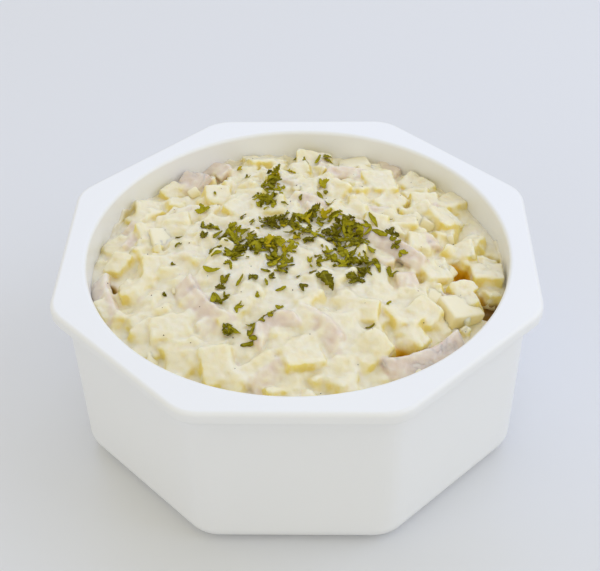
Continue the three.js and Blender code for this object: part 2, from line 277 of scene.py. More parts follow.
def turned(tilt, lean, turn):
    """The rotation that tips by tilt about X, then by lean about Y, and then turns about Z."""
    about_x = Matrix.Rotation(math.radians(tilt), 3, "X")
    about_y = Matrix.Rotation(math.radians(lean), 3, "Y")
    about_z = Matrix.Rotation(math.radians(turn), 3, "Z")
    return np.array(about_z @ about_y @ about_x)


def new_piece(name, points, faces, material, notes=None):
    """A smooth mesh piece from points in millimetres, with a number for each point in each note."""
    mesh = bpy.data.meshes.new(name)
    mesh.from_pydata((points * MM).tolist(), [], [tuple(face) for face in faces])
    mesh.update()
    mesh.polygons.foreach_set("use_smooth", np.ones(len(mesh.polygons), dtype=bool))
    for note, values in (notes or {}).items():
        attribute = mesh.attributes.new(note, "FLOAT", "POINT")
        attribute.data.foreach_set("value", np.asarray(values, dtype=np.float32))
    mesh.materials.append(material)
    piece = bpy.data.objects.new(name, mesh)
    bpy.context.scene.collection.objects.link(piece)
    return piece


def box_skin(steps_x, steps_y, steps_z):
    """The skin of a cube from -1 to 1 as a welded grid: its points and its four-sided faces."""
    steps = (steps_x, steps_y, steps_z)
    points, faces, total = [], [], 0
    for axis in range(3):
        u, v = (axis + 1) % 3, (axis + 2) % 3
        line_u = np.linspace(-1, 1, steps[u] + 1)
        line_v = np.linspace(-1, 1, steps[v] + 1)
        for side in (-1, 1):
            grid = np.zeros((len(line_u), len(line_v), 3))
            grid[..., axis] = side
            grid[..., u], grid[..., v] = np.meshgrid(line_u, line_v, indexing="ij")
            number = total + np.arange(grid[..., 0].size).reshape(grid.shape[:2])
            round_trip = [number[:-1, :-1], number[1:, :-1], number[1:, 1:], number[:-1, 1:]]
            quads = np.stack(round_trip, axis=-1).reshape(-1, 4)
            points.append(grid.reshape(-1, 3))
            faces.append(quads if side > 0 else quads[:, ::-1])
            total += number.size
    every = np.concatenate(points)
    kept, welded = np.unique(np.round(every, 6), axis=0, return_inverse=True)[:2]
    return kept, welded.reshape(-1)[np.concatenate(faces)]


def rounded(skin, half, radius):
    """The cube's skin stretched to a box of these half sizes with rounded edges."""
    crowded = np.sin(skin * math.pi / 2)
    spots = crowded * half
    inner = np.clip(spots, -(half - radius), half - radius)
    outward = spots - inner
    length = np.maximum(np.linalg.norm(outward, axis=1, keepdims=True), 1e-9)
    return inner + outward / length * np.where(length > 1e-6, radius, 0)


def distance_to_box(places, half, radius):
    """Signed distance from each place to a rounded box about the origin."""
    beyond = np.abs(places) - (np.asarray(half) - radius)
    outside = np.linalg.norm(np.maximum(beyond, 0), axis=-1)
    return outside + np.minimum(beyond.max(axis=-1), 0) - radius


# ---------- bowl ----------

def octagon_reach(half_width, angle):
    """From the axis to an octagon with round corners, at an angle from the middle of a side."""
    half_side = math.pi / SIDES
    corner = min(CORNER_ROUND, half_width / 2)
    across = abs(angle)
    flat_end = math.atan2((half_width - corner) * math.tan(half_side), half_width)
    if across <= flat_end:
        return half_width / math.cos(across)
    centre = (half_width - corner) / math.cos(half_side)
    off = half_side - across
    return centre * math.cos(off) + math.sqrt(corner**2 - (centre * math.sin(off)) ** 2)


def arc(centre_r, centre_z, radius, start, end, steps):
    angles = np.radians(np.linspace(start, end, steps + 1))
    return [(centre_r + radius * math.cos(a), centre_z + radius * math.sin(a)) for a in angles]


def outer_profile():
    """Radius and height down the outside, from the axis under the foot to the top of the rim."""
    foot = BODY_FOOT_HALF_WIDTH - FOOT_ROUND
    ring = foot - FOOT_RING_WIDTH
    lip_under = RIM_HEIGHT - LIP_THICKNESS
    lip_middle = RIM_HALF_WIDTH - LIP_ROUND
    cove_top = BODY_TOP_HALF_WIDTH + UNDER_LIP_COVE
    return [
        (0, FOOT_RECESS),
        (ring - 2 * FOOT_RECESS, FOOT_RECESS),
        (ring - FOOT_RECESS, FOOT_RECESS),
        (ring, FOOT_EDGE / 2),
        (ring + FOOT_EDGE, 0),
        *arc(foot, FOOT_ROUND, FOOT_ROUND, -90, 0, 10),
        *arc(cove_top, lip_under - UNDER_LIP_COVE, UNDER_LIP_COVE, 180, 90, 5),
        *arc(lip_middle, lip_under + LIP_ROUND, LIP_ROUND, -90, 0, 6),
        *arc(lip_middle, RIM_HEIGHT - LIP_ROUND, LIP_ROUND, 0, 90, 6),
    ]


def inner_profile(inset):
    """Radius and height down the round inside, smaller all over by inset, to the floor's middle."""
    floor_radius = MOUTH_RADIUS - WALL_DRAFT - FLOOR_ROUND
    mouth = arc(MOUTH_RADIUS + MOUTH_ROUND, RIM_HEIGHT - MOUTH_ROUND, MOUTH_ROUND, 90, 180, 7)
    top = [(MOUTH_RADIUS - inset, RIM_HEIGHT - MOUTH_ROUND)]
    return [
        *(top if inset else mouth),
        *arc(floor_radius, FLOOR_THICKNESS + FLOOR_ROUND, FLOOR_ROUND - inset, 0, -90, 8),
        (0, FLOOR_THICKNESS + inset),
    ]


def bowl(material):
    outer = outer_profile()
    profile = outer + inner_profile(0)
    rings = len(profile)
    points, faces = [], []
    for step in range(SIDES * STEPS_A_SIDE):
        side, place = divmod(step, STEPS_A_SIDE)
        angle = math.pi / SIDES * math.sin((2 * place / STEPS_A_SIDE - 1) * math.pi / 2)
        turn = -math.pi / 2 + side * 2 * math.pi / SIDES + angle
        for ring, (radius, height) in enumerate(profile):
            outside = ring < len(outer) and radius > 0
            reach = octagon_reach(radius, angle) if outside else radius
            points.append((reach * math.cos(turn), reach * math.sin(turn), height))
        here, after = step * rings, (step + 1) % (SIDES * STEPS_A_SIDE) * rings
        for ring in range(rings - 1):
            faces.append((here + ring, after + ring, after + ring + 1, here + ring + 1))
    piece = new_piece("stoneware_bowl", np.array(points), faces, material)
    shape = bmesh.new()
    shape.from_mesh(piece.data)
    bmesh.ops.remove_doubles(shape, verts=shape.verts, dist=0.01 * MM)
    shape.to_mesh(piece.data)
    shape.free()
    piece.modifiers.new("flat_sides_stay_flat", "WEIGHTED_NORMAL").keep_sharp = True
    return piece


# ---------- layout of the food ----------

Die = namedtuple("Die", "middle half turn taper slice_way slice_at round film")
Strip = namedtuple("Strip", "start end width thickness bend rise film")
DRAWN_TO = {Die: 5, Strip: 2}


def mound_height(x, y):
    """The level that the tops of the dice reach."""
    out = np.minimum(np.hypot(x, y) / MOUTH_RADIUS, 1)
    return RIM_HEIGHT + CROWN_RISE - (EDGE_DROP + CROWN_RISE) * out**MOUND_POWER


def wetness(x, y):
    """1 where the dressing is deep and smooth, 0 where the dice stand out of it."""
    away = np.hypot(x - WET_MIDDLE[0], y - WET_MIDDLE[1]) / WET_REACH
    patches = np.sin(x * 0.11 + 2) * np.sin(y * 0.13 + 0.7)
    dry = DRY_RIGHT * ease(*DRY_FROM_TO, x)
    return np.clip(WET_MOST - away - dry + WET_PATCHES * patches, 0, 1)


def wall_radius(height):
    """The inside wall's radius at a height above the round of the floor."""
    low = FLOOR_THICKNESS + FLOOR_ROUND
    share = (np.asarray(height) - low) / (RIM_HEIGHT - MOUTH_ROUND - low)
    return MOUTH_RADIUS - WALL_DRAFT * (1 - np.clip(share, 0, 1))


def far_from_features(x, y):
    here = np.array([x, y])
    for die_x, die_y, *_ in PLAIN_DICE:
        if math.hypot(x - die_x, y - die_y) <= DIE_SPACE:
            return False
    for from_x, from_y, to_x, to_y, width, *_ in HAM_STRIPS:
        start, run = np.array([from_x, from_y]), np.array([to_x - from_x, to_y - from_y])
        share = np.clip((here - start) @ run / (run @ run), 0, 1)
        if np.linalg.norm(here - start - run * share) <= width * HAM_SHARE_CLEAR:
            return False
    return True


def in_hollow(x, y, room):
    return any(math.hypot(x - hole_x, y - hole_y) < radius + room
               for hole_x, hole_y, radius, _ in HOLLOWS)


def sunflower(count, reach, start=0):
    """Places spread evenly over a disc, as seeds are in a sunflower: the number, x and y of each."""
    for number in range(count):
        radius = reach * math.sqrt((number + 0.5) / count)
        angle = number * GOLDEN_ANGLE + start
        yield number, radius * math.cos(angle), radius * math.sin(angle)


def filler_dice():
    """The dice between the plain ones, laid out evenly and then shaken."""
    dice = []
    for number, x, y in sunflower(DIE_COUNT, DIE_REACH):
        x += spread(number * 7 + 1, -DIE_SHAKE, DIE_SHAKE)
        y += spread(number * 7 + 2, -DIE_SHAKE, DIE_SHAKE)
        side = DIE_SIDE * spread(number * 7 + 3, *FILLER_SIZE)
        turn, rise = spread(number * 7 + 4, 0, 90), spread(number * 7 + 5, *FILLER_RISE)
        if far_from_features(x, y) and not in_hollow(x, y, 5):
            dice.append((x, y, side, turn, rise))
    return dice


def placed_die(row, index, tip=DIE_TIP, corner=DIE_ROUND, slice_off=SLICE_OFF_OTHER):
    """One die, its sides a little unequal and a slice cut off it, tipped, and sunk to show its top."""
    x, y, side, turn, rise = row
    half = np.array([spread(index * 5 + 301, *DIE_LENGTH), spread(index * 5 + 302, *DIE_WIDTH), 1])
    tilt = spread(index * 5 + 303, -tip, tip)
    lean = spread(index * 5 + 304, -tip, tip)
    taper = spread(index * 5 + np.array([11001, 11002]), -DIE_TAPER, DIE_TAPER)
    slice_way = spread(index * 5 + np.array([12001, 12002, 12003]), -1, 1)
    slice_at = spread(index + 13000, *slice_off) * side / 2
    inward = min(1, (MOUTH_RADIUS - side * DIE_SHARE_TO_WALL) / math.hypot(x, y))
    x, y = x * inward, y * inward
    level = mound_height(x, y) - side * DIE_SHARE_SUNK + rise
    bare = draw(index + 14000) < BARE_SHARE * (1 - wetness(x, y))
    film = FILM_BARE if bare else blend(*FILM, wetness(x, y)) + spread(index * 5 + 305, *FILM_SHAKE)
    return Die(np.array([x, y, level]), half * side / 2, turned(tilt, lean, turn), taper,
               slice_way / np.linalg.norm(slice_way), slice_at, corner, film)


def under_dice():
    """A second layer of dice, seen in the gaps between the first."""
    dice = []
    for number, x, y in sunflower(UNDER_DIE_COUNT, DIE_REACH, 1):
        side = DIE_SIDE * spread(number * 3 + 2001, *UNDER_DIE_SIZE)
        turn = spread(number * 3 + 2002, 0, 90)
        rise = spread(number * 3 + 2003, -UNDER_DIE_SHAKE, UNDER_DIE_SHAKE) - UNDER_DIE_DEPTH
        if not in_hollow(x, y, 3):
            dice.append(placed_die((x, y, side, turn, rise), 400 + number, UNDER_DIE_TIP))
    return dice


def chips():
    """Corners and crumbs that broke off the dice and lie in the dressing."""
    pieces = []
    for number, x, y in sunflower(CHIP_COUNT, CHIP_REACH, 2):
        x += spread(number * 4 + 4001, -CHIP_SHAKE, CHIP_SHAKE)
        y += spread(number * 4 + 4002, -CHIP_SHAKE, CHIP_SHAKE)
        side = spread(number * 4 + 4003, *CHIP_SIDE)
        row = (x, y, side, 137 * number, spread(number * 4 + 4004, *CHIP_RISE))
        if not in_hollow(x, y, 0):
            pieces.append(placed_die(row, 900 + number, CHIP_TIP, CHIP_ROUND))
    return pieces


def shreds():
    """Short ends and shreds of ham between the long strips."""
    pieces = []
    for number, x, y in sunflower(SHRED_COUNT, DIE_REACH, 0.4):
        turn = spread(number * 5 + 6101, 0, math.pi)
        reach = spread(number * 5 + 6102, *SHRED_HALF_LENGTH)
        end_x, end_y = reach * math.cos(turn), reach * math.sin(turn)
        ends = (x - end_x, y - end_y), (x + end_x, y + end_y)
        width = spread(number * 5 + 6103, *SHRED_WIDTH)
        thickness = spread(number * 5 + 6104, *SHRED_THICKNESS)
        bend = spread(number * 5 + 6105, -SHRED_BEND, SHRED_BEND)
        rise = spread(number + 6400, *SHRED_RISE)
        pieces.append(Strip(*ends, width, thickness, bend, rise, blend(*FILM, wetness(x, y))))
    return pieces


def strip_frame(strip):
    """A strip's middle, the way that it runs, and its length."""
    start, end = np.array(strip.start), np.array(strip.end)
    length = np.linalg.norm(end - start)
    return (start + end) / 2, (end - start) / length, length


def strip_places(strip, points):
    """Each point in a strip's own terms: along it, across its face, and off its face."""
    middle, ahead, length = strip_frame(strip)
    x, y, z = points[..., 0] - middle[0], points[..., 1] - middle[1], points[..., 2]
    along = x * ahead[0] + y * ahead[1]
    bow = strip.bend * (1 - np.minimum(np.abs(2 * along / length), 1) ** 2)
    across = -x * ahead[1] + y * ahead[0] - bow
    off = z - mound_height(points[..., 0], points[..., 1]) + HAM_SUNK - strip.rise
    return np.stack([along, across * HAM_COSINE + off * HAM_SINE,
                     off * HAM_COSINE - across * HAM_SINE], axis=-1)


def strip_half(strip):
    length = math.dist(strip.start, strip.end)
    return np.array([length / 2, strip.width / 2, strip.thickness / 2])


def strip_points(strip, skin):
    """The skin of a box laid along the strip, bent sideways in a bow and draped on the mound."""
    along, wide, thick = rounded(skin, strip_half(strip), HAM_ROUND).T
    middle, ahead, length = strip_frame(strip)
    across = wide * HAM_COSINE - thick * HAM_SINE + strip.bend * (1 - (2 * along / length) ** 2)
    off = wide * HAM_SINE + thick * HAM_COSINE
    x = middle[0] + along * ahead[0] - across * ahead[1]
    y = middle[1] + along * ahead[1] + across * ahead[0]
    return np.stack([x, y, mound_height(x, y) - HAM_SUNK + strip.rise + off], axis=1)


# ---------- dressing ----------

def hollow_core(hole, x, y, near, far):
    """1 over a hollow's middle and 0 away from it, fading between two shares of its radius."""
    hole_x, hole_y, radius, _ = hole
    return 1 - ease(near * radius, far * radius, np.hypot(x - hole_x, y - hole_y))


def dressing_level(x, y):
    """The dressing's own surface between the dice, in slow ripples and drawn up at the wall."""
    ripple = np.sin(x * 0.21 + 1.3) * np.cos(y * 0.18) + np.sin((x + y) * 0.13)
    drop = blend(*LEVEL_DROP, wetness(x, y))
    drop = blend(drop, np.minimum(drop, LEVEL_DROP_AT_WALL), ease(*NEAR_WALL, np.hypot(x, y)))
    level = mound_height(x, y) - drop + RIPPLE_HEIGHT * ripple
    for hole in HOLLOWS:
        level -= hole[3] * hollow_core(hole, x, y, *HOLLOW_DROP_FADE)
    return level


def smear_height(x, y):
    """How far the dressing is smeared up the wall above its own level."""
    angle = np.degrees(np.arctan2(y, x))
    height = 0.0
    for middle, half_width, reach in SMEARS:
        off = (angle - middle + 180) % 360 - 180
        fringe = 1 + SMEAR_FRINGE * np.sin(off * 1.1)
        height = height + reach * np.exp(-((off / half_width) ** 2)) * fringe
    return height


def nearness(away, creep):
    """1 at a surface, large inside it and small outside. Added up, it rounds the creases between things."""
    return np.exp(-np.clip(away / creep, -40, 40))


def middle_and_size(food):
    """The middle of a die or a strip, and a radius round it that holds all of it."""
    if isinstance(food, Die):
        return food.middle, np.linalg.norm(food.half)
    middle = np.add(food.start, food.end) / 2
    return np.array([*middle, RIM_HEIGHT - STRIP_DEPTH]), strip_half(food)[0] + STRIP_ROOM


def coated_field(axes, dice, strips):
    """Distance-like values on a grid, below 0 in the salad. Dressing creeps up all that it meets."""
    x, y = np.meshgrid(axes[0], axes[1], indexing="ij")
    creep = blend(*CREEP, wetness(x, y)[..., None])
    height = axes[2][None, None, :]
    filled = nearness(height - dressing_level(x, y)[..., None], creep)
    off_wall = wall_radius(height) - np.hypot(x, y)[..., None]
    smear_top = (mound_height(x, y) + smear_height(x, y) - SMEAR_SUNK)[..., None]
    filled += nearness(np.maximum(off_wall - SMEAR_THICKNESS, height - smear_top), CREEP[0])
    for food in [*dice, *strips]:
        middle, size = middle_and_size(food)
        reach = size + DRAWN_TO[type(food)]
        low = [np.searchsorted(axis, centre - reach) for axis, centre in zip(axes, middle)]
        high = [np.searchsorted(axis, centre + reach) for axis, centre in zip(axes, middle)]
        block = tuple(slice(*ends) for ends in zip(low, high))
        lines = [axis[part] for axis, part in zip(axes, block)]
        if min(len(line) for line in lines) < 1:
            continue
        here = np.stack(np.meshgrid(*lines, indexing="ij"), axis=-1)
        away = distance_to_food(here - (0, 0, FILM_LIFT), food)
        flat = here.reshape(-1, 3)
        uneven = lumps(flat, 9, 12) + 0.5 * lumps(flat, 4, 14)
        film = food.film + FILM_UNEVEN * uneven.reshape(away.shape)
        filled[block] += nearness(away - film, creep[block[:2]])
    return np.maximum(-creep * np.log(filled), -off_wall - WALL_OVERLAP)


def distance_to_die(places, die):
    """Signed distance to a die: a rounded box, narrower at one end, with a slice cut off."""
    local = (places - die.middle) @ die.turn
    local[..., :2] /= 1 + die.taper * np.clip(local[..., 2:] / die.half[2], -1.2, 1.2)
    box = distance_to_box(local, die.half, die.round) + die.round
    sliced = local @ die.slice_way - die.slice_at + die.round
    outside = np.hypot(np.maximum(box, 0), np.maximum(sliced, 0))
    return outside + np.minimum(np.maximum(box, sliced), 0) - die.round


def distance_to_food(places, food):
    if isinstance(food, Strip):
        return distance_to_box(strip_places(food, places), strip_half(food), HAM_ROUND)
    return distance_to_die(places, food)


def skin_of(field, axes):
    """The surface where a grid's values pass 0: one point in each cell that it crosses."""
    inside = field < 0
    shape = tuple(n - 1 for n in field.shape)
    count = np.zeros(shape, dtype=int)
    for corner in np.ndindex(2, 2, 2):
        count += inside[tuple(slice(low, low + steps) for low, steps in zip(corner, shape))]
    crossed = (count > 0) & (count < 8)
    cells = np.argwhere(crossed)
    number = np.full(shape, -1)
    number[crossed] = np.arange(len(cells))
    total, hits = np.zeros((len(cells), 3)), np.zeros((len(cells), 1))
    faces = []
    for axis in range(3):
        u, v = (axis + 1) % 3, (axis + 2) % 3
        step_u, step_v, ahead = np.eye(3, dtype=int)[[u, v, axis]]
        for corner in (0 * step_u, step_u, step_v, step_u + step_v):
            start = cells + corner
            first, last = field[tuple(start.T)], field[tuple((start + ahead).T)]
            cut = (first < 0) != (last < 0)
            share = (first[cut] / (first[cut] - last[cut]))[:, None]
            total[cut] += start[cut] + share * ahead
            hits[cut] += 1
        here = inside[tuple(slice(0, -1) if i == axis else slice(None) for i in range(3))]
        beyond = inside[tuple(slice(1, None) if i == axis else slice(None) for i in range(3))]
        edges = np.argwhere(here != beyond)
        fits = (edges[:, u] > 0) & (edges[:, v] > 0) & (edges[:, u] < shape[u]) & (edges[:, v] < shape[v])
        edges = edges[fits]
        leaving = inside[tuple(edges.T)]
        ring = [edges, edges - step_u, edges - step_u - step_v, edges - step_v]
        quads = np.stack([number[tuple(cell.T)] for cell in ring], axis=1)
        faces += [quads[leaving], quads[~leaving][:, ::-1]]
    origin = np.array([axis[0] for axis in axes])
    return origin + total / hits * (axes[0][1] - axes[0][0]), np.concatenate(faces)


def nearest_food(points, foods):
    """Distance from each point to the nearest of these foods, up to a few millimetres."""
    nearest = np.full(len(points), float(FOOD_NEAR))
    for food in foods:
        middle, size = middle_and_size(food)
        close = np.flatnonzero(np.hypot(*(points[:, :2] - middle[:2]).T) < size + FOOD_NEAR)
        nearest[close] = np.minimum(nearest[close], distance_to_food(points[close], food))
    return nearest


def close_below(mesh):
    """Carries the skin's open lower edge down the bowl's inside and closes it on the floor."""
    shape = bmesh.new()
    shape.from_mesh(mesh)
    edge = [e for e in shape.edges if e.is_boundary]
    for radius, height in inner_profile(-WALL_OVERLAP)[1:-1]:
        made = bmesh.ops.extrude_edge_only(shape, edges=edge)["geom"]
        edge = [part for part in made if isinstance(part, bmesh.types.BMEdge)]
        for corner in {v for e in edge for v in e.verts}:
            share = radius * MM / math.hypot(corner.co.x, corner.co.y)
            corner.co = Vector((corner.co.x * share, corner.co.y * share, height * MM))
    bmesh.ops.contextual_create(shape, geom=edge)
    shape.to_mesh(mesh)
    shape.free()


def dressing(dice, strips, material):
    flat = np.arange(-GRID_REACH, GRID_REACH, GRID_CELL)
    axes = [flat, flat, np.arange(GRID_LOW, GRID_TOP, GRID_CELL)]
    points, faces = skin_of(coated_field(axes, dice, strips), axes)
    raised = points[:, 2] > GRID_LOW + 2
    uneven = lumps(points[raised], 2.6, 21) + 0.9 * lumps(points[raised], 5, 22)
    points[raised, 2] += LUMP_HEIGHT * uneven
    potato, ham = nearest_food(points, dice), nearest_food(points, strips)
    x, y, z = points.T
    depth = mound_height(x, y) - z
    # The mask for the hollows' painted shade: over each hollow's middle, where the dressing lies deep.
    gap = np.maximum(ease(3.5, 5, depth), ease(0.8, 1.6, potato) * ease(2, 4, depth))
    over_hollow = np.max([hollow_core(hole, x, y, *HOLLOW_SHADE_FADE) for hole in HOLLOWS], axis=0)
    notes = {"potato_near": potato, "ham_near": ham, "depth": depth, "hollow": over_hollow * gap,
             "off_wall": wall_radius(z) - np.hypot(x, y)}
    piece = new_piece("creamy_dressing", points, faces, material, notes)
    close_below(piece.data)
    return piece


# ---------- materials ----------

# The nodes that make up the patterns: Blender's kind of node, its settings, and the output that is used.
PLACE = ("ShaderNodeTexCoord", {}, "Object")
NORMAL = ("ShaderNodeNewGeometry", {}, "Normal")
UPWARD = ("ShaderNodeSeparateXYZ", {}, "Z")
GRAIN = ("ShaderNodeCombineXYZ", {}, "Vector")
NOISE = ("ShaderNodeTexNoise", {}, "Fac")
BUMP = ("ShaderNodeBump", {}, "Normal")
RANGE = ("ShaderNodeMapRange", {}, "Result")
COLOUR_MIX = ("ShaderNodeMix", {"data_type": "RGBA"}, 2)
SUM = ("ShaderNodeMath", {"operation": "ADD"}, "Value")
CLAMPED_SUM = ("ShaderNodeMath", {"operation": "ADD", "use_clamp": True}, "Value")
CLAMPED_DIFFERENCE = ("ShaderNodeMath", {"operation": "SUBTRACT", "use_clamp": True}, "Value")
PRODUCT = ("ShaderNodeMath", {"operation": "MULTIPLY"}, "Value")
CLAMPED_PRODUCT = ("ShaderNodeMath", {"operation": "MULTIPLY", "use_clamp": True}, "Value")
STRETCHED = ("ShaderNodeMath", {"operation": "MULTIPLY_ADD"}, "Value")


def linear(colour):
    """An sRGB hex colour as the linear colour that a shader takes."""
    values = [int(colour[i:i + 2], 16) / 255 for i in (1, 3, 5)]
    return (*(v / 12.92 if v <= 0.04045 else ((v + 0.055) / 1.055) ** 2.4 for v in values), 1)


def scale_of(size):
    """The scale at which a pattern's patches are this many millimetres across."""
    return 1 / (size * MM)


def set_inputs(node, **inputs):
    """Sets each named input to a value, or links it. A name such as _6 is an input's number."""
    for name, value in inputs.items():
        place = int(name[1:]) if name[1:].isdigit() else name.replace("_", " ")
        if isinstance(value, bpy.types.NodeSocket):
            node.id_data.links.new(value, node.inputs[place])
        else:
            node.inputs[place].default_value = value


def add_node(tree, kind, **inputs):
    """Adds a node with its settings and its inputs' values and links, and gives the output that is used."""
    name, settings, output = kind
    node = tree.nodes.new(name)
    for setting, value in settings.items():
        setattr(node, setting, value)
    set_inputs(node, **inputs)
    return node.outputs[output]


def new_material(name, *notes):
    """A material, what adds nodes to it, its shader, and the notes of its piece's points."""
    material = bpy.data.materials.new(name)
    material.use_nodes = True
    add = partial(add_node, material.node_tree)
    noted = [add(("ShaderNodeAttribute", {"attribute_name": note}, "Fac")) for note in notes]
    return material, add, material.node_tree.nodes["Principled BSDF"], *noted


def glazed_stoneware():
    """Stoneware under a clear-white glaze: a hard gloss with the faint swell of a fired glaze."""
    material, add, shader = new_material("white_glazed_stoneware")
    place = add(PLACE)
    # The glaze swells over 22 mm, as it ran in the kiln, and its white drifts over 55 mm.
    swell = add(NOISE, Vector=place, Scale=scale_of(22), Detail=2.0)
    bump = add(BUMP, Height=swell, Strength=0.05, Distance=0.4 * MM)
    tone = add(NOISE, Vector=place, Scale=scale_of(55), Detail=3.0)
    glaze = add(COLOUR_MIX, _0=tone, _6=linear("#f4f5f8"), _7=linear("#f7f8f9"))
    set_inputs(shader, Base_Color=glaze, Normal=bump, Roughness=0.28, IOR=1.52)
    return material


def creamy_dressing():
    """Mayonnaise and cream: a white emulsion with a wet shine. Where it is thin, the potato's yellow
    and the ham's pink show through it. Deep between the dice a painted golden glow stands in for
    light bounced off the dice, and the hollows are painted with brown and amber shade."""
    notes = ["potato_near", "ham_near", "depth", "hollow", "off_wall"]
    material, add, shader, *noted = new_material("creamy_dressing", *notes)
    place = add(PLACE)
    potato_near, ham_near, depth, hollow, off_wall = noted
    upward = add(UPWARD, Vector=add(NORMAL))
    # The dressing gathers and thins over half a die.
    patches = add(NOISE, Vector=place, Scale=scale_of(DIE_SIDE / 2), Detail=2.0)
    cream = add(COLOUR_MIX, _0=patches, _6=linear("#f3ebd0"), _7=linear("#f6f1e4"))
    # It runs off the steep sides of the dice, so there they show through it most.
    thin = add(RANGE, Value=potato_near, From_Min=3.4, From_Max=1.0)
    steep = add(RANGE, Value=upward, From_Min=0.85, From_Max=0.3, To_Min=0.22)
    uneven = add(STRETCHED, _0=patches, _1=3.4, _2=-0.75)
    yellow = add(PRODUCT, _0=thin, _1=steep)
    yellow = add(CLAMPED_PRODUCT, _0=yellow, _1=uneven)
    over_potato = add(COLOUR_MIX, _0=yellow, _6=cream, _7=linear("#ecd97c"))
    pink = add(RANGE, Value=ham_near, From_Min=1.5, From_Max=0.3, To_Max=0.75)
    over_ham = add(COLOUR_MIX, _0=pink, _6=over_potato, _7=linear("#e3d0c2"))
    # Painted light: the deeper the dressing lies below the mound, the more golden it is, as if lit by light
    # bounced off the dice.
    painted_glow = add(RANGE, Value=depth, From_Min=3.0, From_Max=7.0, To_Max=0.55)
    with_painted_glow = add(COLOUR_MIX, _0=painted_glow, _6=over_ham, _7=linear("#eddf9a"))
    # Painted shade in the hollows: brown near the wall and amber away from it.
    inward = add(RANGE, Value=off_wall, From_Min=4.0, From_Max=12.0)
    hollow_shade = add(COLOUR_MIX, _0=inward, _6=linear("#a88a50"), _7=linear("#e2b01c"))
    with_hollow_shade = add(COLOUR_MIX, _0=hollow, _6=with_painted_glow, _7=hollow_shade)
    # Crumbs of potato about half a millimetre across, drawn at 1.4 mm so that they show.
    crumbs = add(NOISE, Vector=place, Scale=scale_of(1.4), Detail=3.0)
    bump = add(BUMP, Height=crumbs, Strength=0.45, Distance=0.5 * MM)
    # Light goes through it, but not at the wall, where it is thin, nor in the hollows.
    lit = add(RANGE, Value=off_wall, From_Min=0.5, From_Max=4.0, To_Max=0.9)
    lit = add(CLAMPED_DIFFERENCE, _0=lit, _1=hollow)
    set_inputs(shader, Base_Color=with_hollow_shade, Normal=bump, Roughness=0.36, IOR=1.46, Coat_Weight=0.5,
               Coat_Roughness=0.16, Subsurface_Weight=lit, Subsurface_Radius=(1.0, 0.9, 0.65),
               Subsurface_Scale=3.5 * MM)
    return material


def boiled_potato():
    """Boiled waxy potato: moist, yellow and a little see-through, with dressing clinging to its top."""
    material, add, shader, tint = new_material("boiled_potato", "tint")
    place = add(PLACE)
    upward = add(UPWARD, Vector=add(NORMAL))
    potato = add(COLOUR_MIX, _0=tint, _6=linear("#f4e9b4"), _7=linear("#f1e09c"))
    # The coat of dressing gathers and thins over 5 mm.
    film = add(NOISE, Vector=place, Scale=scale_of(5), Detail=1.0)
    clinging = add(SUM, _0=upward, _1=film)
    coat = add(RANGE, Value=clinging, From_Min=0.5, From_Max=1.3, To_Max=0.9)
    coated = add(COLOUR_MIX, _0=coat, _6=potato, _7=linear("#f9f1d6"))
    # The flesh's grain is about 0.2 mm, drawn at 2.5 mm so that it shows.
    flesh = add(NOISE, Vector=place, Scale=scale_of(2.5), Detail=2.0)
    bump = add(BUMP, Height=flesh, Strength=0.25, Distance=0.4 * MM)
    set_inputs(shader, Base_Color=coated, Normal=bump, Roughness=0.4, IOR=1.4, Subsurface_Weight=0.25,
               Subsurface_Radius=(1.0, 0.9, 0.6), Subsurface_Scale=1.2 * MM)
    return material


# A streak of fibres is about 0.5 mm wide, drawn at 1.3 mm so that it shows, and 12 mm long. Through
# the strip's thickness the streaks are finer, and each strip has streaks of its own.
STREAK_LENGTH = 12
STREAK_WIDTH = 1.3
STREAKS_FINER_THROUGH = 1.7
STREAKS_TO_NEXT_STRIP = 7


def cooked_ham():
    """Cooked ham cut in strips: pale pink meat, its fibres running along the strip."""
    material, add, shader, along, across = new_material("cooked_ham", "along", "across")
    # The two notes count whole streaks, so the pattern's own scale is 1.
    grain = add(GRAIN, X=along, Y=across)
    fibres = add(NOISE, Vector=grain, Scale=1.0, Detail=3.0)
    streaks = add(RANGE, Value=fibres, From_Min=0.3, From_Max=0.7)
    meat = add(COLOUR_MIX, _0=streaks, _6=linear("#dac8ba"), _7=linear("#eee3d9"))
    bump = add(BUMP, Height=fibres, Strength=0.4, Distance=0.4 * MM)
    set_inputs(shader, Base_Color=meat, Normal=bump, Roughness=0.38, IOR=1.4, Subsurface_Weight=0.4,
               Subsurface_Radius=(1.0, 0.5, 0.4), Subsurface_Scale=2.0 * MM)
    return material


def chopped_parsley():
    """Fresh parsley, chopped: matt leaves from dark to yellowish olive, paler along the rib."""
    material, add, shader, tint, rib = new_material("chopped_parsley", "tint", "rib")
    place = add(PLACE)
    # The leaf's green changes between its veins, about 1.5 mm apart.
    mottle = add(NOISE, Vector=place, Scale=scale_of(1.5), Detail=2.0)
    shade = add(STRETCHED, _0=mottle, _1=1.6, _2=-0.85)
    shade = add(CLAMPED_SUM, _0=tint, _1=shade)
    greens = add(COLOUR_MIX, _0=shade, _6=linear("#605806"), _7=linear("#b4aa1c"))
    yellowed = add(RANGE, Value=tint, From_Min=0.94, From_Max=0.96)
    leafy = add(COLOUR_MIX, _0=yellowed, _6=greens, _7=linear("#c0ac14"))
    pale = add(RANGE, Value=rib, From_Min=0.8, From_Max=1.0, To_Max=0.4)
    ribbed = add(COLOUR_MIX, _0=pale, _6=leafy, _7=linear("#a8a44a"))
    bump = add(BUMP, Height=mottle, Strength=0.4, Distance=0.3 * MM)
    set_inputs(shader, Base_Color=ribbed, Normal=bump, Roughness=0.6, IOR=1.45, Specular_IOR_Level=0.08)
    return material


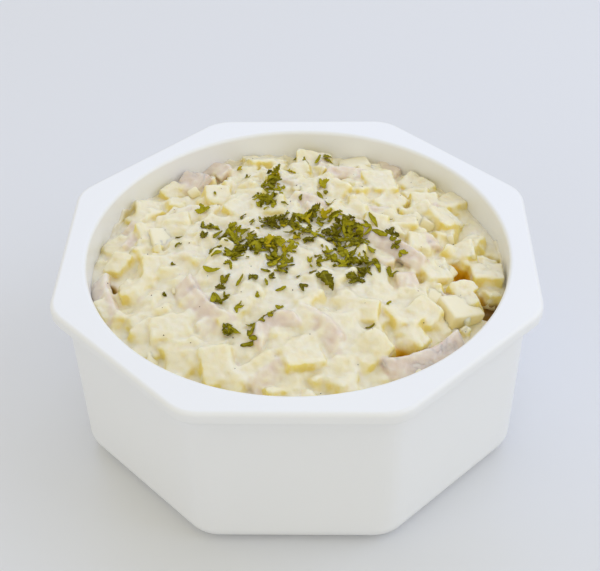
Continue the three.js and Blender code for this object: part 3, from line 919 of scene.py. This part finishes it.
def ground_pepper():
    """Black pepper, ground: dull dark brown grains."""
    material, add, shader = new_material("ground_pepper")
    place = add(PLACE)
    # A grain is about 0.6 mm across, so its brown changes from one to the next.
    grit = add(NOISE, Vector=place, Scale=scale_of(0.6))
    browns = add(COLOUR_MIX, _0=grit, _6=linear("#2b2118"), _7=linear("#6b5a44"))
    set_inputs(shader, Base_Color=browns, Roughness=0.7)
    return material


def pale_table():
    """A pale lacquered table top, in a satin white that is nearly even."""
    material, add, shader = new_material("pale_table")
    place = add(PLACE)
    # Its white drifts over 600 mm, about the width of the board.
    cloud = add(NOISE, Vector=place, Scale=scale_of(600), Detail=2.0)
    tone = add(COLOUR_MIX, _0=cloud, _6=linear("#e3e4e7"), _7=linear("#e5e6e8"))
    set_inputs(shader, Base_Color=tone, Roughness=0.35)
    return material


# ---------- pieces of food ----------

def settled(points, die):
    """Points near a die moved onto its surface, down the slope of the distance to it."""
    step = 0.05
    for _ in range(4):
        away = distance_to_die(points, die)
        rise = [distance_to_die(points + step * way, die) - away for way in np.eye(3)]
        points = points - away[:, None] * (np.stack(rise, axis=1) / step)
    return points


def joined_piece(name, parts, material):
    """One piece from many closed parts: each part's points, its faces, and its notes."""
    points, faces, notes, total = [], [], {}, 0
    for places, quads, noted in parts:
        points.append(places)
        faces.append(quads + total)
        total += len(places)
        for note, values in noted.items():
            notes.setdefault(note, []).append(values * np.ones(len(places)))
    notes = {note: np.concatenate(values) for note, values in notes.items()}
    return new_piece(name, np.concatenate(points), np.concatenate(faces), material, notes)


def potato_dice(dice, material):
    fine, coarse = box_skin(6, 6, 6), box_skin(4, 4, 4)
    parts = []
    for index, die in enumerate(dice):
        skin, quads = fine if die.half[2] > CHIP_SIDE[1] / 2 else coarse
        local = rounded(skin, die.half, die.round)
        local[:, :2] *= 1 + die.taper * local[:, 2:] / die.half[2]
        places = settled(local @ die.turn.T + die.middle, die)
        parts.append((places, quads, {"tint": draw(index + 3000)}))
    return joined_piece("potato_dice", parts, material)


def ham_strips(strips, material):
    skin, quads = box_skin(18, 6, 4)
    parts = []
    for index, strip in enumerate(strips):
        x, y, z = (skin * strip_half(strip)).T
        notes = {"along": x / STREAK_LENGTH + index * STREAKS_TO_NEXT_STRIP,
                 "across": (y + z * STREAKS_FINER_THROUGH) / STREAK_WIDTH}
        parts.append((strip_points(strip, skin), quads, notes))
    return joined_piece("ham_strips", parts, material)


def tree_of(*pieces):
    """A search tree, in millimetres, over the faces of these pieces."""
    points, faces, total = [], [], 0
    for piece in pieces:
        mesh = piece.data
        places = np.empty(len(mesh.vertices) * 3)
        mesh.vertices.foreach_get("co", places)
        points.append(places.reshape(-1, 3) / MM)
        faces += [[corner + total for corner in face.vertices] for face in mesh.polygons]
        total += len(mesh.vertices)
    return BVHTree.FromPolygons(np.concatenate(points).tolist(), faces)


def surface_height(ground, x, y):
    hit = ground.ray_cast(Vector((x, y, RIM_HEIGHT + 30)), Vector((0, 0, -1)))[0]
    return hit.z if hit else None


def plate_faces(rows, columns):
    """The faces of a thin plate: a grid of points, the same grid below it, and the rim that joins them."""
    number = np.arange(rows * columns).reshape(rows, columns)
    below = number + rows * columns
    round_trip = [number[:-1, :-1], number[1:, :-1], number[1:, 1:], number[:-1, 1:]]
    upper = np.stack(round_trip, axis=-1).reshape(-1, 4)
    lower = upper[:, ::-1] + rows * columns
    loop = np.concatenate([number[:-1, 0], number[-1, :-1], number[:0:-1, -1], number[0, :0:-1]])
    after = np.roll(loop, -1)
    rim = np.stack([after, loop, loop + below[0, 0], after + below[0, 0]], axis=1)
    return np.concatenate([upper, lower, rim])


def leaflet(number, length, slim):
    """One leaflet along X from its stalk: a toothed blade, bent, curled, crinkled and folded on its rib.
    Slim is the share of its length that its half width takes."""
    along = np.linspace(0, min(spread(number + 7004, *LEAF_CUT), 1), LEAF_ROWS)
    bulge = np.sin(math.pi * np.minimum(along, 0.985) ** 0.75) ** 0.9
    half_width = STALK_HALF_WIDTH + slim * length * bulge
    rows = np.arange(LEAF_ROWS)
    tooth = LEAF_TOOTH * np.where(rows % 2, 1, -1) * spread(number * 3 + 7100 + rows, 0.3, 1.2)
    tooth = tooth * (slim > TOOTHED_SLIM)
    x = length * along[:, None] * np.ones(len(LEAF_COLUMNS))
    y = half_width[:, None] * LEAF_COLUMNS * (1 + tooth[:, None] * np.sign(LEAF_COLUMNS))
    x = x + 0.16 * length * np.abs(LEAF_COLUMNS) * slim * np.where(along > 0.1, 1, 0)[:, None]
    fold, curl = spread(number + 7200, *LEAF_FOLD), spread(number + 7300, *LEAF_CURL) / length
    crinkle = LEAF_CRINKLE * np.sin(x * 1.9 + 6 * draw(number + 7400)) * np.sin(y * 2.3 + number)
    z = fold * np.abs(y) + curl * x**2 + crinkle
    y = y + spread(number + 7500, -LEAF_SWAY, LEAF_SWAY) * x**2 / length
    return np.stack([x, y, z], axis=-1).reshape(-1, 3)


def leaf(number, length, leaflets):
    """A scrap of parsley: a slender shred, or two or three leaflets that spread from one stalk."""
    if leaflets == 1:
        return [leaflet(number * 31, length, SHRED_SLIM)]
    blades = []
    for place in [-1, 0, 1] if leaflets == 3 else [-0.4, 0.4]:
        own = number * 7 + place * 2
        way = math.radians(place * LEAFLET_ANGLE + spread(own + 7700, -12, 12))
        size = length * (1 if place == 0 else 0.75) * spread(own + 7800, 0.8, 1.05)
        blade = leaflet(number * 31 + int(place * 10) + 11, size, spread(number + 7900, *LEAF_SLIM))
        x, y, z = blade.T
        cosine, sine = math.cos(way), math.sin(way)
        blades.append(np.stack([x * cosine - y * sine, x * sine + y * cosine, z + 0.06 * place], axis=1))
    return blades


def parsley_places():
    """Each scrap's x, y, length, turn, leaflets, and how high it may lie over others in its clump."""
    places = [(*row, 0.0) for row in PARSLEY_STRAYS]
    for clump, (middle_x, middle_y, reach_x, reach_y, count) in enumerate(PARSLEY_CLUMPS):
        for k in range(count):
            number = clump * 100 + k
            radius, angle = math.sqrt((k + 0.5) / count), k * GOLDEN_ANGLE + clump
            x = middle_x + 1.1 * reach_x * radius * math.cos(angle)
            y = middle_y + 1.1 * reach_y * radius * math.sin(angle)
            length, turn = spread(number + 900, *LEAF_LENGTH), spread(number + 910, 0, 360)
            leaflets = 1 + int(3 * draw(number + 930) ** 0.6)
            places.append((x, y, length, turn, leaflets, HEAP_HEIGHT * (1 - radius) * draw(number + 950)))
        for k in range(PARSLEY_BITS):
            number = clump * 50 + k
            radius, angle = spread(number + 970, 0.6, 1.7), k * GOLDEN_ANGLE + 3 * clump
            x = middle_x + reach_x * radius * math.cos(angle)
            y = middle_y + reach_y * radius * math.sin(angle)
            places.append((x, y, spread(number + 990, *BIT_LENGTH), 97 * number, 1 + number % 2, 0.0))
    return places


def laid(points, ground, x, y, heap):
    """A blade's points carried to a place and let down on the food, where they lie on it or bridge it."""
    below = [surface_height(ground, x + spot[0], y + spot[1]) for spot in points]
    known = [height for height in below if height is not None]
    if not known:
        return None
    level = sum(known) / len(known)
    below = np.array([level if height is None else height for height in below])
    rest = np.minimum(blend(level, below, 0.6) + points[:, 2] + heap + 0.15, LEAF_TOP)
    return np.column_stack([points[:, :2] + (x, y), np.maximum(rest, below + 0.1)])


def parsley(ground, material):
    plate = plate_faces(LEAF_ROWS, len(LEAF_COLUMNS))
    rib = np.tile(1 - np.abs(LEAF_COLUMNS), 2 * LEAF_ROWS)
    parts = []
    for index, (x, y, length, turn, leaflets, heap) in enumerate(parsley_places()):
        standing = draw(index + 8400) < STANDING_SHARE and heap > 0
        roll = spread(index + 8500, *(STANDING_ROLL if standing else LYING_ROLL))
        spin = turned(roll, spread(index + 8600, -LEAF_LEAN, LEAF_LEAN), turn)
        for blade in leaf(index, length, leaflets):
            top = laid((blade - (length / 2, 0, 0)) @ spin.T, ground, x, y, heap)
            if top is not None:
                both = np.concatenate([top + (0, 0, LEAF_THICKNESS), top])
                parts.append((both, plate, {"tint": draw(index + 9500), "rib": rib}))
    return joined_piece("chopped_parsley", parts, material)


def pepper(ground, material):
    skin, quads = box_skin(2, 2, 2)
    ball = skin / np.linalg.norm(skin, axis=1, keepdims=True)
    parts = []
    for grain, x, y in sunflower(GRAIN_COUNT, GRAIN_REACH, 2):
        x += spread(grain + 9700, -GRAIN_SHAKE, GRAIN_SHAKE)
        height = surface_height(ground, x, y)
        if height is not None:
            shape = ball * spread(grain + 9800, *GRAIN_SIZE) * GRAIN_SHAPE
            parts.append((shape @ turned(0, 0, 70 * grain).T + (x, y, height), quads, {}))
    return joined_piece("ground_pepper", parts, material)


# ---------- the part ----------

def ride_as(piece, node):
    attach(piece, "root")
    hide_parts(node)


all_dice = [placed_die(row, index, slice_off=SLICE_OFF_PLAIN) for index, row in enumerate(PLAIN_DICE)]
all_dice += [placed_die(row, 100 + index) for index, row in enumerate(filler_dice())]
all_dice += under_dice() + chips()
strips = [Strip(row[:2], row[2:4], *row[4:]) for row in HAM_STRIPS] + shreds()

stoneware = bowl(glazed_stoneware())
cream = dressing(all_dice, strips, creamy_dressing())
diced = potato_dice(all_dice, boiled_potato())
ham = ham_strips(strips, cooked_ham())
ground = tree_of(cream, diced, ham)
leaves = parsley(ground, chopped_parsley())
grains = pepper(ground, ground_pepper())

ride_as(stoneware, "bowl")
ride_as(cream, "potato_salad")
ride_as(diced, "potato_salad")
ride_as(ham, "potato_salad")
ride_as(leaves, "potato_salad")
ride_as(grains, "potato_salad")


# ---------- table, light and camera ----------

def table():
    bpy.ops.mesh.primitive_grid_add(x_subdivisions=4, y_subdivisions=4, size=8)
    top = bpy.context.object
    top.name = "pale_table"
    top.data.materials.append(pale_table())


def soft_light(name, place, aim, size, power, colour):
    lamp = bpy.data.lights.new(name, "AREA")
    lamp.shape = "RECTANGLE"
    lamp.size, lamp.size_y = size
    lamp.energy = power
    lamp.color = linear(colour)[:3]
    holder = bpy.data.objects.new(name, lamp)
    holder.location = place
    holder.rotation_euler = (Vector(aim) - Vector(place)).to_track_quat("-Z", "Y").to_euler()
    bpy.context.scene.collection.objects.link(holder)


def world_light(colour, strength):
    world = bpy.data.worlds.new("studio")
    world.use_nodes = True
    sky = world.node_tree.nodes["Background"]
    sky.inputs["Color"].default_value = linear(colour)
    sky.inputs["Strength"].default_value = strength
    bpy.context.scene.world = world


# The camera looks down on the bowl from in front at about 40 degrees.
CAMERA_TURN = math.radians(1.929)
CAMERA_ELEVATION = math.radians(39.619)
CAMERA_ROLL = math.radians(-1.233)
CAMERA_DISTANCE = 573.2
CAMERA_TARGET = Vector((0.25, 13.8, 50.0))
CAMERA_FIELD = math.radians(26.539)


def camera():
    turn, rise = CAMERA_TURN, CAMERA_ELEVATION
    back = Vector((math.sin(turn) * math.cos(rise), -math.cos(turn) * math.cos(rise), math.sin(rise)))
    level_right = Vector((math.cos(turn), math.sin(turn), 0))
    level_up = back.cross(level_right)
    right = math.cos(CAMERA_ROLL) * level_right + math.sin(CAMERA_ROLL) * level_up
    up = math.cos(CAMERA_ROLL) * level_up - math.sin(CAMERA_ROLL) * level_right
    lens = bpy.data.cameras.new("camera")
    lens.sensor_fit = "HORIZONTAL"
    lens.angle = CAMERA_FIELD
    holder = bpy.data.objects.new("camera", lens)
    facing = Matrix((right, up, back)).transposed().to_4x4()
    holder.matrix_world = Matrix.Translation((CAMERA_TARGET + back * CAMERA_DISTANCE) * MM) @ facing
    bpy.context.scene.collection.objects.link(holder)
    bpy.context.scene.camera = holder


table()
world_light("#fff9de", 0.73)
soft_light("back", (0, 1.0, 1.0), (0, 0.25, 0), (1.8, 1.2), 6.1, "#8aadff")
soft_light("right", (1.1, 0, 0.9), (0, 0, 0.05), (1.3, 1.3), 7.0, "#bfd2ff")
soft_light("front", (-0.9, -1.3, 0.9), (0, 0, 0.05), (1.8, 1.4), 5.1, "#b0c2fa")
camera()
bpy.context.scene.view_settings.view_transform = "Standard"
